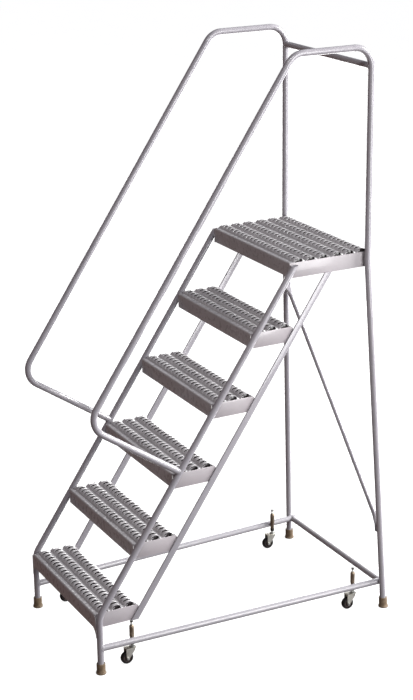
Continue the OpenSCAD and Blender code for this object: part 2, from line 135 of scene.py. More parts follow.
def bevel_sharp(bm, width, segments):
    """Rounds every edge that turns by more than 40 degrees."""
    bm.normal_update()
    limit = math.radians(40)
    sharp = [e for e in bm.edges if len(e.link_faces) == 2 and e.calc_face_angle() > limit]
    bmesh.ops.bevel(
        bm, geom=sharp, offset=width, offset_type="OFFSET", segments=segments,
        profile=0.5, affect="EDGES", clamp_overlap=True,
    )


def circle(bm, place, radius, height, steps):
    """Adds a ring of vertices around a placement's Z."""
    turns = [2 * math.pi * i / steps for i in range(steps)]
    return [
        bm.verts.new(place @ Vector((radius * math.cos(a), radius * math.sin(a), height)))
        for a in turns
    ]


def lathe(bm, profile, place, steps=48, closed=False):
    """Adds a surface of revolution; profile is (radius, height) pairs, place puts local Z where it goes."""
    rings = []
    for radius, height in profile:
        if radius < 1e-6:
            rings.append([bm.verts.new(place @ Vector((0, 0, height)))])
        else:
            rings.append(circle(bm, place, radius, height, steps))
    pairs = list(zip(rings, rings[1:])) + ([(rings[-1], rings[0])] if closed else [])
    for low, high in pairs:
        for i in range(steps):
            j = (i + 1) % steps
            corners = [low[i % len(low)], low[j % len(low)]]
            corners += [high[j % len(high)], high[i % len(high)]]
            face = list(dict.fromkeys(corners))
            if len(face) > 2:
                bm.faces.new(face)


def along_x(point):
    """Placement that turns a lathe's axis along X."""
    return Matrix.Translation(point) @ Matrix.Rotation(math.pi / 2, 4, "Y")


# ---------------------------------------------------------------- materials

def new_material(name):
    """A node material with one Principled shader: (material, tree, shader)."""
    material = bpy.data.materials.new(name)
    material.use_nodes = True
    tree = material.node_tree
    tree.nodes.clear()
    output = tree.nodes.new("ShaderNodeOutputMaterial")
    shader = tree.nodes.new("ShaderNodeBsdfPrincipled")
    tree.links.new(shader.outputs["BSDF"], output.inputs["Surface"])
    return material, tree, shader


def noise_node(tree, scale, detail, coordinates):
    """A noise texture over the given coordinates."""
    node = tree.nodes.new("ShaderNodeTexNoise")
    node.inputs["Scale"].default_value = scale
    node.inputs["Detail"].default_value = detail
    tree.links.new(coordinates, node.inputs["Vector"])
    return node


def ramp_node(tree, factor, stops):
    """A colour ramp; stops are (position, grey or colour)."""
    node = tree.nodes.new("ShaderNodeValToRGB")
    while len(node.color_ramp.elements) < len(stops):
        node.color_ramp.elements.new(0.5)
    for element, (position, value) in zip(node.color_ramp.elements, stops):
        element.position = position
        colour = value if isinstance(value, tuple) else (value, value, value)
        element.color = (*colour, 1)
    tree.links.new(factor, node.inputs["Fac"])
    return node


def mix_node(tree, factor, first, second):
    """Mixes two colours; each is a colour or a socket."""
    node = tree.nodes.new("ShaderNodeMix")
    node.data_type = "RGBA"
    for socket, value in ((node.inputs[0], factor), (node.inputs[6], first), (node.inputs[7], second)):
        if isinstance(value, bpy.types.NodeSocket):
            tree.links.new(value, socket)
        elif isinstance(value, tuple):
            socket.default_value = (*value, 1)
        else:
            socket.default_value = value
    return node.outputs[2]


def math_node(tree, operation, first, second):
    """A maths node on two values or sockets."""
    node = tree.nodes.new("ShaderNodeMath")
    node.operation = operation
    for socket, value in zip(node.inputs, (first, second)):
        if isinstance(value, bpy.types.NodeSocket):
            tree.links.new(value, socket)
        else:
            socket.default_value = value
    return node.outputs[0]


def bump_node(tree, height, strength, distance):
    """Surface relief from a height socket."""
    node = tree.nodes.new("ShaderNodeBump")
    node.inputs["Strength"].default_value = strength
    node.inputs["Distance"].default_value = distance
    tree.links.new(height, node.inputs["Height"])
    return node.outputs["Normal"]


def object_coordinates(tree):
    """The object's own coordinates, so that a finish moves with its piece."""
    return tree.nodes.new("ShaderNodeTexCoord").outputs["Object"]


def powder_coat(name, colour, warm, roughness, worn=0.2):
    """Grey powder coat: mottling, orange-peel skin, scuffs, bare worn edges and painted shade in the slots.
    """
    material, tree, shader = new_material(name)
    place = object_coordinates(tree)
    mottle = noise_node(tree, 9, 5, place)
    tone = ramp_node(tree, mottle.outputs["Fac"], [(0.3, colour), (0.7, warm)])
    scuffs = noise_node(tree, 60, 9, place)
    scuff = ramp_node(tree, scuffs.outputs["Fac"], [(0.62, 0.0), (0.76, 0.10)])
    pale = tuple(min(1, c * 1.25) for c in colour)
    base = mix_node(tree, scuff.outputs["Color"], tone.outputs["Color"], pale)
    geometry = tree.nodes.new("ShaderNodeNewGeometry")
    edge = ramp_node(tree, geometry.outputs["Pointiness"], [(0.53, 0.0), (0.62, worn)])
    base = mix_node(tree, edge.outputs["Color"], base, BARE_METAL)
    # Painted shade: a vertex weight on the slot walls mixes the paint towards near-black, in place of the
    # shade inside the slots
    slot_painted_shade = tree.nodes.new("ShaderNodeAttribute")
    slot_painted_shade.attribute_name = "slot_painted_shade"
    base = mix_node(tree, slot_painted_shade.outputs["Fac"], base, SLOT_SHADE)
    tree.links.new(base, shader.inputs["Base Color"])
    gloss = ramp_node(tree, scuffs.outputs["Fac"], [(0.35, roughness), (0.75, roughness + 0.16)])
    tree.links.new(gloss.outputs["Color"], shader.inputs["Roughness"])
    peel = noise_node(tree, 900, 2, place)
    ripple = noise_node(tree, 120, 3, place)
    height = math_node(tree, "ADD", peel.outputs["Fac"], ripple.outputs["Fac"])
    tree.links.new(bump_node(tree, height, 0.12, 0.0004), shader.inputs["Normal"])
    shader.inputs["Coat Weight"].default_value = 0.7
    shader.inputs["Coat Roughness"].default_value = 0.14
    return material


def plated_steel(name, colour, tint, roughness, streak):
    """Plated steel: soft colour clouds, fine drawn streaks and dull spots."""
    material, tree, shader = new_material(name)
    place = object_coordinates(tree)
    stretch = tree.nodes.new("ShaderNodeMapping")
    stretch.inputs["Scale"].default_value = streak
    tree.links.new(place, stretch.inputs["Vector"])
    clouds = noise_node(tree, 45, 5, place)
    tone = ramp_node(tree, clouds.outputs["Fac"], [(0.35, colour), (0.68, tint)])
    lines = noise_node(tree, 160, 4, stretch.outputs["Vector"])
    spots = noise_node(tree, 260, 7, place)
    spot = ramp_node(tree, spots.outputs["Fac"], [(0.60, 0.0), (0.74, 0.5)])
    dull = tuple(c * 0.5 for c in colour)
    base = mix_node(tree, spot.outputs["Color"], tone.outputs["Color"], dull)
    tree.links.new(base, shader.inputs["Base Color"])
    gloss = ramp_node(tree, lines.outputs["Fac"], [(0.3, roughness), (0.75, roughness + 0.22)])
    tree.links.new(gloss.outputs["Color"], shader.inputs["Roughness"])
    tree.links.new(bump_node(tree, lines.outputs["Fac"], 0.15, 0.0003), shader.inputs["Normal"])
    shader.inputs["Metallic"].default_value = 0.85
    return material


def moulded(name, colour, dusty, roughness, grain):
    """Moulded rubber or plastic: dusty clouds and a fine grain."""
    material, tree, shader = new_material(name)
    place = object_coordinates(tree)
    clouds = noise_node(tree, 70, 6, place)
    tone = ramp_node(tree, clouds.outputs["Fac"], [(0.38, colour), (0.72, dusty)])
    tree.links.new(tone.outputs["Color"], shader.inputs["Base Color"])
    skin = noise_node(tree, grain, 4, place)
    gloss = ramp_node(tree, skin.outputs["Fac"], [(0.3, roughness), (0.7, roughness + 0.15)])
    tree.links.new(gloss.outputs["Color"], shader.inputs["Roughness"])
    tree.links.new(bump_node(tree, skin.outputs["Fac"], 0.25, 0.0004), shader.inputs["Normal"])
    shader.inputs["Specular IOR Level"].default_value = 0.28
    return material


def make_materials():
    """One material for each of the record's slots."""
    along_z = (1, 1, 0.08)
    return {
        "frame_paint": powder_coat("frame_paint", (0.30, 0.285, 0.31), (0.34, 0.32, 0.345), 0.16),
        "tread_paint": powder_coat("tread_paint", (0.40, 0.385, 0.395), (0.45, 0.43, 0.44), 0.24),
        "plate_paint": powder_coat("plate_paint", (0.36, 0.325, 0.34), (0.40, 0.36, 0.375), 0.34),
        "zinc": plated_steel("zinc", (0.45, 0.45, 0.42), (0.60, 0.60, 0.57), 0.30, along_z),
        "fork_zinc": plated_steel("fork_zinc", (0.58, 0.55, 0.47), (0.72, 0.70, 0.63), 0.32, along_z),
        "housing_steel": plated_steel(
            "housing_steel", (0.22, 0.17, 0.12), (0.33, 0.26, 0.19), 0.30, along_z,
        ),
        "dark_steel": plated_steel("dark_steel", (0.07, 0.065, 0.06), (0.13, 0.12, 0.11), 0.35, along_z),
        "foot_rubber": moulded("foot_rubber", (0.15, 0.105, 0.065), (0.24, 0.175, 0.115), 0.42, 500),
        "hub_plastic": moulded("hub_plastic", (0.035, 0.022, 0.02), (0.07, 0.05, 0.045), 0.42, 700),
        "tyre_rubber": moulded("tyre_rubber", (0.006, 0.005, 0.005), (0.014, 0.012, 0.011), 0.55, 900),
    }


MATERIALS = make_materials()
# Half the width of a tread without ears
PLANK_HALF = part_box("tread_2")[1].x


def dress_cad_nodes():
    """Gives every CAD node the procedural material of its own slot."""
    for obj in NODES.values():
        for slot in obj.material_slots:
            name = slot.material.name.split(".")[0]
            if name in MATERIALS:
                slot.material = MATERIALS[name]


# ---------------------------------------------------------------- grip planks

def plank_stations(front, row_1, depth):
    """Stations across a plank, front to back: (y, z, slot opening 0 to 1, rib 0 to 1)."""
    stations = []
    if front:
        stations += [(0, -FLANGE_H, 0, 0), (0, -FLANGE_H * 0.5, 0, 0), (0, -NOSE_R, 0, 0)]
        for i in range(1, 6):
            a = math.radians(90 * i / 5)
            y = NOSE_R - NOSE_R * math.cos(a)
            stations.append((y, -NOSE_R + NOSE_R * math.sin(a), 0, i / 5))
    else:
        stations += [(0, -LIP_H, 0, 0), (0, -1.5 * MM, 0, 0)]
        stations += [(0.5 * MM, -0.4 * MM, 0, 0), (1.5 * MM, 0, 0, 0)]
    arch_r = (ROW_W ** 2 / 4 + ROW_RISE ** 2) / (2 * ROW_RISE)
    steps = 18
    for row in range(ROWS):
        middle = row_1 + row * ROW_PITCH
        rib = 1 if front and row == 0 else 0.45
        for i in range(steps + 1):
            u = -1 + 2 * i / steps
            y = u * ROW_W / 2
            z = ROW_RISE - arch_r + math.sqrt(arch_r ** 2 - y ** 2)
            reach = abs(y) / (SLOT_LEN / 2)
            opening = max(0, 1 - reach ** 2) ** 0.75 if reach < 1 else 0
            stations.append((middle + y, z, opening, rib if u < 0 else 0.3))
    stations += [(depth - 1.5 * MM, 0, 0, 0), (depth - 0.5 * MM, -0.4 * MM, 0, 0)]
    stations += [(depth, -1.5 * MM, 0, 0), (depth, -LIP_H, 0, 0)]
    return stations


def strand_section(x, station):
    """Points across one strand, from slot middle to slot middle: (x, y, z, recess 0 to 1)."""
    y, z, opening, rib = station
    raised = 0.5 * MM * rib
    edge = SLOT_PITCH / 2 - SLOT_HALF * opening
    soft = min(1, 3 * opening)
    # The third value of each point is its painted-shade weight: full down the slot wall, none on the
    # strand's top
    side = [
        (edge, (WALL_LOW - z) * opening ** WALL_POWER, soft),
        (edge, -RIM_DROP * soft, soft),
        (edge - RIM_ROUND * soft, -RIM_ROUND * soft, 0),
        (edge - RIM_DROP * soft - 0.8 * MM * rib, raised, 0),
        (edge * 0.4, raised + 0.35 * MM * opening, 0),
    ]
    left = [(x - dx, y, z + dz, dark) for dx, dz, dark in side]
    right = [(x + dx, y, z + dz, dark) for dx, dz, dark in side[::-1]]
    return left + right


def end_section(sign, half, station):
    """Points of the strip past the last slot; empty where the slot runs out at the end."""
    y, z, opening, _ = station
    inner = SLOT_PITCH * (SLOT_COUNT - 1) / 2 + SLOT_HALF * opening
    if inner > half - 0.3 * MM:
        return []
    soft = min(1, 3 * opening)
    # Third values are painted-shade weights for the slot wall beside the last strand
    points = [
        (sign * inner, y, z + (WALL_LOW - z) * opening ** WALL_POWER, soft),
        (sign * inner, y, z - RIM_DROP * soft, 0.55 * soft),
        (sign * (inner + RIM_ROUND * soft), y, z - RIM_ROUND * soft, 0),
        (sign * half, y, z, 0),
    ]
    return points if sign > 0 else points[::-1]


def add_strip(bm, layer, origin, sections):
    """Joins neighbouring sections of one strip with faces; empty sections leave a gap."""
    rows = []
    for section in sections:
        row = []
        for x, y, z, dark in section:
            vert = bm.verts.new(origin + Vector((x, y, z)))
            vert[layer] = dark
            row.append(vert)
        rows.append(row)
    for a, b in zip(rows, rows[1:]):
        if a and b:
            for i in range(len(a) - 1):
                bm.faces.new((a[i], a[i + 1], b[i + 1], b[i]))


def grip_plank(name, low, high, front, row_1):
    """A pressed plank: flange or lip, three arched rows of strands between flanged slots."""
    half = (high.x - low.x) / 2
    depth = high.y - low.y
    origin = Vector(((low.x + high.x) / 2, low.y, high.z - ROW_RISE))
    stations = plank_stations(front, row_1, depth)
    bm = bmesh.new()
    # Vertex weights of the painted shade in the slots
    layer = bm.verts.layers.float.new("slot_painted_shade")
    for k in range(SLOT_COUNT - 1):
        x = (k - (SLOT_COUNT - 2) / 2) * SLOT_PITCH
        add_strip(bm, layer, origin, [strand_section(x, s) for s in stations])
    for sign in (-1, 1):
        add_strip(bm, layer, origin, [end_section(sign, half, s) for s in stations])
    bmesh.ops.remove_doubles(bm, verts=bm.verts, dist=0.02 * MM)
    bmesh.ops.dissolve_degenerate(bm, edges=bm.edges, dist=0.02 * MM)
    loose = [v for v in bm.verts if not v.link_faces]
    bmesh.ops.delete(bm, geom=loose, context="VERTS")
    obj = make_object(name, bm, smooth=0)
    solid = obj.modifiers.new("thickness", "SOLIDIFY")
    solid.thickness = SHEET * 0.8
    solid.offset = -1
    apply_modifiers(obj)
    obj.data.shade_smooth()
    obj.data.set_sharp_from_angle(angle=math.radians(38))
    return obj


def ear_piece(side, box):
    """Tread 1's flange where it runs on over a front leg, with its curved ear."""
    low, high = box
    ear_r = 38 * MM
    top = high.z - ROW_RISE - NOSE_R
    bottom = high.z - ROW_RISE - FLANGE_H
    outer = SIDE_X - 1 * MM
    inner = outer - 2 * MM - ear_r
    edge = bottom + 0.5 * MM
    lap = SIDE_X - TUBE_R - 3 * MM
    outline = [(inner, bottom + 4 * MM), (inner, edge)]
    for i in range(1, 15):
        a = math.radians(90 - 90 * i / 14)
        outline.append((inner + ear_r * math.cos(a), edge - ear_r + ear_r * math.sin(a)))
    outline += [(outer, edge - ear_r), (outer, top)]
    outline += [(lap, top), (lap, bottom + 4 * MM)]
    bm = bmesh.new()
    verts = [bm.verts.new((side * x, low.y + 0.05 * MM, z)) for x, z in outline]
    face = bm.faces.new(verts)
    back = bmesh.ops.extrude_face_region(bm, geom=[face])["geom"]
    moved = [v for v in back if isinstance(v, bmesh.types.BMVert)]
    bmesh.ops.translate(bm, verts=moved, vec=(0, SHEET, 0))
    bevel_sharp(bm, 0.35 * MM, 2)
    name = "left" if side < 0 else "right"
    return make_object(f"tread_ear_{name}", bm)


def make_planks():
    """The five treads, tread 1's ears and the platform's two planks."""
    for i in range(1, 6):
        node = f"tread_{i}"
        low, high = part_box(node)
        if i == 1:
            for side in SIDES.values():
                finish_piece(ear_piece(side, (low, high)), "frame", "tread_paint", node)
            low = Vector((-PLANK_HALF, low.y, low.z))
            high = Vector((PLANK_HALF, high.y, high.z))
        plank = grip_plank(f"grip_tread_{i}", low, high, True, FIRST_ROW)
        finish_piece(plank, "frame", "tread_paint", node)
    for node, front, row_1 in (
        ("platform_front_plank", True, FIRST_ROW),
        ("platform_rear_plank", False, REAR_FIRST_ROW),
    ):
        low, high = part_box(node)
        plank = grip_plank(f"grip_{node}", low, high, front, row_1)
        finish_piece(plank, "frame", "tread_paint", node)


# ---------------------------------------------------------------- plates

def softened(name, node, width):
    """A CAD node's own shape with its sharp edges rounded off."""
    bm = bmesh.new()
    bm.from_mesh(NODES[node].data)
    bmesh.ops.remove_doubles(bm, verts=bm.verts, dist=0.005 * MM)
    flat = math.radians(1)
    bmesh.ops.dissolve_limit(bm, angle_limit=flat, verts=bm.verts, edges=bm.edges)
    bevel_sharp(bm, width, 3)
    return make_object(name, bm)


def make_plates():
    """End plates and flat rear stringers, with the small radius that shearing and paint leave."""
    for side in SIDES:
        for node, slot, width in (
            (f"tread_end_plates_{side}", "plate_paint", 0.5 * MM),
            (f"platform_end_plate_{side}", "plate_paint", 0.5 * MM),
            (f"rear_stringer_{side}", "frame_paint", 1.1 * MM),
        ):
            piece = softened(f"rounded_{node}", node, width)
            finish_piece(piece, "frame", slot, node)


# ---------------------------------------------------------------- welds

def rear_leg(z):
    """Centre line of the right rear leg at a height."""
    fall = max(0, FLARE_H - z) / FLARE_H
    return Vector((SIDE_X + FLARE_OUT * fall, REAR_Y + FLARE_BACK * fall, z))


def rail_x(y):
    """Sideways position of a base rail's centre line."""
    reach = rear_leg(RAIL_H).x - RAIL_INSET - SIDE_X
    return SIDE_X + reach * (y - FRONT_Y) / (-2 * FRONT_Y)


def sweep_loop(bm, points, radius, rng, sides=8):
    """A closed bead along a loop of points, with the ripples of a weld."""
    rings = []
    count = len(points)
    for i, point in enumerate(points):
        ahead = (points[(i + 1) % count] - points[i - 1]).normalized()
        if i == 0:
            out = ahead.orthogonal().normalized()
        else:
            out = (out - ahead * out.dot(ahead)).normalized()
        across = ahead.cross(out)
        size = radius * (1 + 0.14 * math.sin(i * 1.9) + rng.uniform(-0.08, 0.08))
        rings.append([
            bm.verts.new(point + size * (out * math.cos(a) + across * math.sin(a)))
            for a in (2 * math.pi * j / sides for j in range(sides))
        ])
    for i in range(count):
        a, b = rings[i], rings[(i + 1) % count]
        gaps = [
            sum((a[j].co - b[(j + k) % sides].co).length for j in range(sides))
            for k in range(sides)
        ]
        shift = gaps.index(min(gaps))
        for j in range(sides):
            k = (j + 1) % sides
            bm.faces.new((a[j], a[k], b[(k + shift) % sides], b[(j + shift) % sides]))


def saddle(crossing, branch, run, reach):
    """Loop where a branch of radius reach meets a run tube; crossing is where their lines meet."""
    branch = branch.normalized()
    side = branch.cross(run).normalized()
    along = side.cross(branch)
    points = []
    steps = 56
    for i in range(steps):
        a = 2 * math.pi * i / steps
        lift = math.sqrt(max(0, TUBE_R ** 2 - (reach * math.cos(a)) ** 2))
        points.append(crossing + branch * lift + (side * math.cos(a) + along * math.sin(a)) * reach)
    return points


def make_welds():
    """Weld beads where tubes meet tubes and where the housings meet the base rails."""
    rng = random.Random(WELD_SEED)
    slope = Vector((0, RUN, RISE)).normalized()
    back_off = Vector((0, -RISE, RUN)).normalized()
    stringer_y = FRONT_Y + (HANDRAIL_LOW_H - BEND_H) * RUN / RISE
    reach = HANDRAIL_GAP * RISE / math.hypot(RISE, RUN)
    corner = Vector((0, stringer_y - HANDRAIL_GAP, HANDRAIL_LOW_H))
    landing = corner - back_off * reach
    cross_z = centre("top_crossbar").z
    base_y = centre("rear_base_crossbar").y
    up = Vector((0, 0, 1))
    for side, sign in SIDES.items():
        out = Vector((sign, 0, 0))
        rail = Vector((sign * (rail_x(0.1) - rail_x(0)), 0.1, 0)).normalized()
        joints = [
            (Vector((sign * SIDE_X, landing.y, landing.z)), back_off, slope),
            (Vector((sign * SIDE_X, REAR_Y, cross_z)), -out, up),
            (Vector((sign * SIDE_X, FRONT_Y, RAIL_H)), rail, up),
            (Vector((sign * rail_x(base_y), base_y, RAIL_H)), -out, rail),
        ]
        bm = bmesh.new()
        for crossing, branch, run in joints:
            sweep_loop(bm, saddle(crossing, branch, run, TUBE_R * 0.985), WELD_R, rng)
        for corner_name in CORNERS:
            if corner_name.endswith(side):
                y = centre(f"stem_{corner_name}").y
                point = Vector((sign * rail_x(y), y, RAIL_H))
                sweep_loop(bm, saddle(point, -out, rail, 6.5 * MM), 2.6 * MM, rng)
        beads = make_object(f"weld_beads_{side}", bm)
        finish_piece(beads, "frame", "frame_paint")


# ---------------------------------------------------------------- feet

def make_feet():
    """Rubber feet: flanged base, ring and open sleeve; the rear ones lean with the leg."""
    profile = [
        (0, 0), (18.6, 0), (20.0, 0.6), (20.5, 1.8), (20.5, 5.2), (20.0, 6.4), (18.4, 7.4),
        (17.9, 8.6), (18.3, 10.0), (18.3, 11.6), (17.6, 12.6), (17.4, 16), (17.4, 40),
        (17.1, 42.6), (16.2, 43.8), (15.0, 44), (13.9, 43.4), (13.2, 42), (12.85, 38),
        (12.85, 8), (0, 8),
    ]
    for name in CORNERS:
        node = f"foot_{name}"
        middle = centre(node)
        lean = Matrix.Identity(4)
        if name.startswith("rear"):
            lean[0][2] = -math.copysign(FLARE_OUT / FLARE_H, middle.x)
            lean[1][2] = -FLARE_BACK / FLARE_H
        bm = bmesh.new()
        place = Matrix.Translation((middle.x, middle.y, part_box(node)[0].z)) @ lean
        lathe(bm, [(r * MM, z * MM) for r, z in profile], place, 64)
        finish_piece(make_object(f"rubber_{node}", bm), "frame", "foot_rubber", node)


# ---------------------------------------------------------------- casters

def hexagon(bm, place, across, low, high, bore=0):
    """A hexagon nut or head with turned corners, from low to high along the placement's Z."""
    steps = 48
    flat = across / 2
    chamfer = 0.09 * across
    face_r, corner_r = flat * 1.02, flat * 1.125
    rings = []
    for z, limit in (
        (low, face_r), (low + chamfer, corner_r), (high - chamfer, corner_r), (high, face_r),
    ):
        ring = []
        for i in range(steps):
            a = 2 * math.pi * i / steps
            turn = (a + math.pi / 6) % (math.pi / 3) - math.pi / 6
            radius = min(flat / math.cos(turn), limit)
            point = Vector((radius * math.cos(a), radius * math.sin(a), z))
            ring.append(bm.verts.new(place @ point))
        rings.append(ring)
    if bore:
        for z in (high, low):
            rings.append(circle(bm, place, bore, z, steps))
    pairs = list(zip(rings, rings[1:])) + ([(rings[-1], rings[0])] if bore else [])
    for a, b in pairs:
        for i in range(steps):
            j = (i + 1) % steps
            bm.faces.new((a[i], a[j], b[j], b[i]))
    if not bore:
        bm.faces.new(rings[0][::-1])
        bm.faces.new(rings[-1])


def make_housing(corner):
    """A spring housing: crimped tube with a shoulder, a weld neck and a hexagonal guide bush below."""
    node = f"spring_housing_{corner}"
    low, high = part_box(node)
    middle = centre(f"stem_{corner}")
    place = Matrix.Translation((middle.x, middle.y, low.z))
    tall = (high.z - low.z) / MM
    profile = [
        (4.3, 12), (7.4, 12), (7.8, 13), (7.8, 31), (8.3, 33), (9.3, 34), (9.5, 35.5), (9.5, tall - 10),
        (9.2, tall - 8.4), (8.8, tall - 7.8), (9.3, tall - 7), (9.3, tall - 5.6), (8.4, tall - 4.2),
        (6.6, tall - 3.2), (6.1, tall - 2.6), (6.1, tall - 0.6), (5.7, tall), (4.3, tall),
    ]
    bm = bmesh.new()
    lathe(bm, [(r * MM, z * MM) for r, z in profile], place, 48, closed=True)
    finish_piece(make_object(f"housing_{corner}", bm), "frame", "housing_steel", node)
    bm = bmesh.new()
    hexagon(bm, place, 17 * MM, 0, 11.8 * MM, bore=4.3 * MM)
    finish_piece(make_object(f"guide_bush_{corner}", bm), "frame", "dark_steel")


def make_stem(corner):
    """The sliding stem: riveted foot, domed race cap, plain shank and threaded top with its nut."""
    node = f"stem_{corner}"
    middle = centre(node)
    low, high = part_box(node)
    place = Matrix.Translation((middle.x, middle.y, 0))
    fork_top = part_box(f"fork_{corner}")[1].z / MM
    base, top = low.z / MM, high.z / MM
    profile = [
        (0, base), (4.6, base), (5.6, base + 0.7), (5.8, base + 1.6), (5.8, base + 2.5), (4, base + 2.5),
        (4, fork_top + 1.5), (11.2, fork_top + 1.5), (12, fork_top + 2.2), (11.9, fork_top + 3.2),
        (10.6, fork_top + 4.4), (8, fork_top + 5), (4.2, fork_top + 5), (4, fork_top + 5.4),
    ]
    thread = top - 17
    profile.append((4, thread))
    for i in range(12):
        profile += [(3.55, thread + 0.4 + 1.25 * i), (4, thread + 1.0 + 1.25 * i)]
    profile += [(3.5, top - 0.6), (2.8, top), (0, top)]
    bm = bmesh.new()
    lathe(bm, [(r * MM, z * MM) for r, z in profile], place, 32)
    finish_piece(make_object(f"caster_stem_{corner}", bm), node, "zinc", node)
    nut = f"stem_nut_{corner}"
    low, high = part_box(nut)
    bm = bmesh.new()
    hexagon(bm, place, 11.2 * MM, low.z, high.z, bore=4.02 * MM)
    finish_piece(make_object(f"lock_nut_{corner}", bm), node, "dark_steel", nut)


def make_fork(corner):
    """A pressed fork with softened edges and the lower race under the stem's cap."""
    node = f"fork_{corner}"
    piece = softened(f"pressed_{node}", node, 0.5 * MM)
    finish_piece(piece, node, "fork_zinc", node)
    middle = centre(f"stem_{corner}")
    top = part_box(node)[1].z / MM
    profile = [
        (4.3, top), (12.2, top), (12.6, top + 0.4), (12.2, top + 1.0), (11.0, top + 1.2),
        (4.3, top + 1.2),
    ]
    bm = bmesh.new()
    place = Matrix.Translation((middle.x, middle.y, 0))
    lathe(bm, [(r * MM, z * MM) for r, z in profile], place, 40, closed=True)
    finish_piece(make_object(f"lower_race_{corner}", bm), node, "zinc")


def make_axle(corner):
    """Axle bolt with washers, a hexagonal head and a nut."""
    node = f"axle_bolt_{corner}"
    axle = centre(f"tyre_{corner}")
    low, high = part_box(node)
    reach = (high.x - low.x) / 2
    place = along_x(axle)
    bm = bmesh.new()
    shank = [(0, -reach), (2.6 * MM, -reach), (3 * MM, -reach + 0.5 * MM), (3 * MM, reach - 0.5 * MM)]
    shank += [(2.6 * MM, reach), (0, reach)]
    lathe(bm, shank, place, 32)
    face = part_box(f"fork_{corner}")[1].x - axle.x
    outer = face + 0.9 * MM
    for sign in (-1, 1):
        washer = [(3.2 * MM, face), (6.6 * MM, face), (6.6 * MM, outer), (3.2 * MM, outer)]
        lathe(bm, [(r, sign * z) for r, z in washer], place, 32, closed=True)
        ends = sorted((sign * outer, sign * (face + 4.2 * MM)))
        hexagon(bm, place, 9.6 * MM, ends[0], ends[1])
    finish_piece(make_object(f"wheel_bolt_{corner}", bm), f"fork_{corner}", "zinc", node)


def make_wheel(corner):
    """A moulded hub with a ribbed web, and its tyre with a rounded crown."""
    body = f"wheel_{corner}"
    hub, tyre = f"hub_{corner}", f"tyre_{corner}"
    axle = centre(tyre)
    place = along_x(axle)
    profile = [
        (3.1, -11), (6.4, -11), (7, -10.4), (7.2, -7.4), (8, -6.8), (13, -6.8), (14, -7.4), (14.6, -9),
        (15.4, -9), (17, -8.6), (17, 8.6), (15.4, 9), (14.6, 9), (14, 7.4), (13, 6.8), (8, 6.8),
        (7.2, 7.4), (7, 10.4), (6.4, 11), (3.1, 11),
    ]
    bm = bmesh.new()
    lathe(bm, [(r * MM, z * MM) for r, z in profile], place, 64, closed=True)
    for i in range(6):
        turn = Matrix.Rotation(math.radians(60 * i), 4, "Z")
        for sign in (-1, 1):
            rib = bmesh.ops.create_cube(bm, size=1)["verts"]
            spot = Matrix.Translation((10.6 * MM, 0, sign * 7.4 * MM))
            shape = spot @ Matrix.Diagonal((7.6 * MM, 1.8 * MM, 2.4 * MM, 1))
            bmesh.ops.transform(bm, matrix=place @ turn @ shape, verts=rib)
    finish_piece(make_object(f"moulded_{hub}", bm), body, "hub_plastic", hub)
    profile = [
        (17.05, -8.4), (17.6, -9.6), (18.6, -10), (21.6, -10), (22.6, -9.6), (23.6, -8.6),
        (24.4, -7), (24.9, -5.4), (25.25, -3), (25.4, 0), (25.25, 3), (24.9, 5.4), (24.4, 7),
        (23.6, 8.6), (22.6, 9.6), (21.6, 10),
        (18.6, 10), (17.6, 9.6), (17.05, 8.4),
    ]
    bm = bmesh.new()
    lathe(bm, [(r * MM, z * MM) for r, z in profile], place, 80, closed=True)
    finish_piece(make_object(f"rounded_{tyre}", bm), body, "tyre_rubber", tyre)


def make_casters():
    """The four casters."""
    for corner in CORNERS:
        make_housing(corner)
        make_stem(corner)
        make_fork(corner)
        make_axle(corner)
        make_wheel(corner)


# ---------------------------------------------------------------- brace

def island_centres(node):
    """Centres of the two separate solids of a node, upper first."""
    points = [v.co for v in NODES[node].data.vertices]
    split = sum(p.z for p in points) / len(points)
    centres = []
    for group in ([p for p in points if p.z > split], [p for p in points if p.z <= split]):
        low = Vector([min(p[i] for p in group) for i in range(3)])
        high = Vector([max(p[i] for p in group) for i in range(3)])
        centres.append((low + high) / 2)
    return centres


def brace_path(top, low, inward):
    """Stations along the brace: (centre, blend from flat tab 0 to round tube 1)."""
    down_low = (rear_leg(0) - rear_leg(FLARE_H)).normalized()
    down_top = Vector((-down_low.x, down_low.y, down_low.z))
    middle = (top + low) / 2
    tab = (-14, -13.6, -12.4, -10.4, -8, -2, 6, 14, 20)
    steps = 10
    halves = []
    for bolt, along, aside in ((low, -down_low, -inward), (top, down_top, inward)):
        start = bolt + along * BRACE_ROD_START + aside * BRACE_ROD_INSET
        away = (middle - start).normalized()
        stations = [(bolt + along * d * MM, 0) for d in tab]
        bend = (bolt + along * 22 * MM, start + away * 6 * MM, start + away * 40 * MM)
        for i in range(steps + 1):
            t = i / steps
            point = bend[0] * (1 - t) ** 2 + bend[1] * 2 * t * (1 - t) + bend[2] * t * t
            stations.append((point, t * t * (3 - 2 * t)))
        halves.append(stations)
    return halves[0] + [(middle, 1)] + halves[1][::-1]


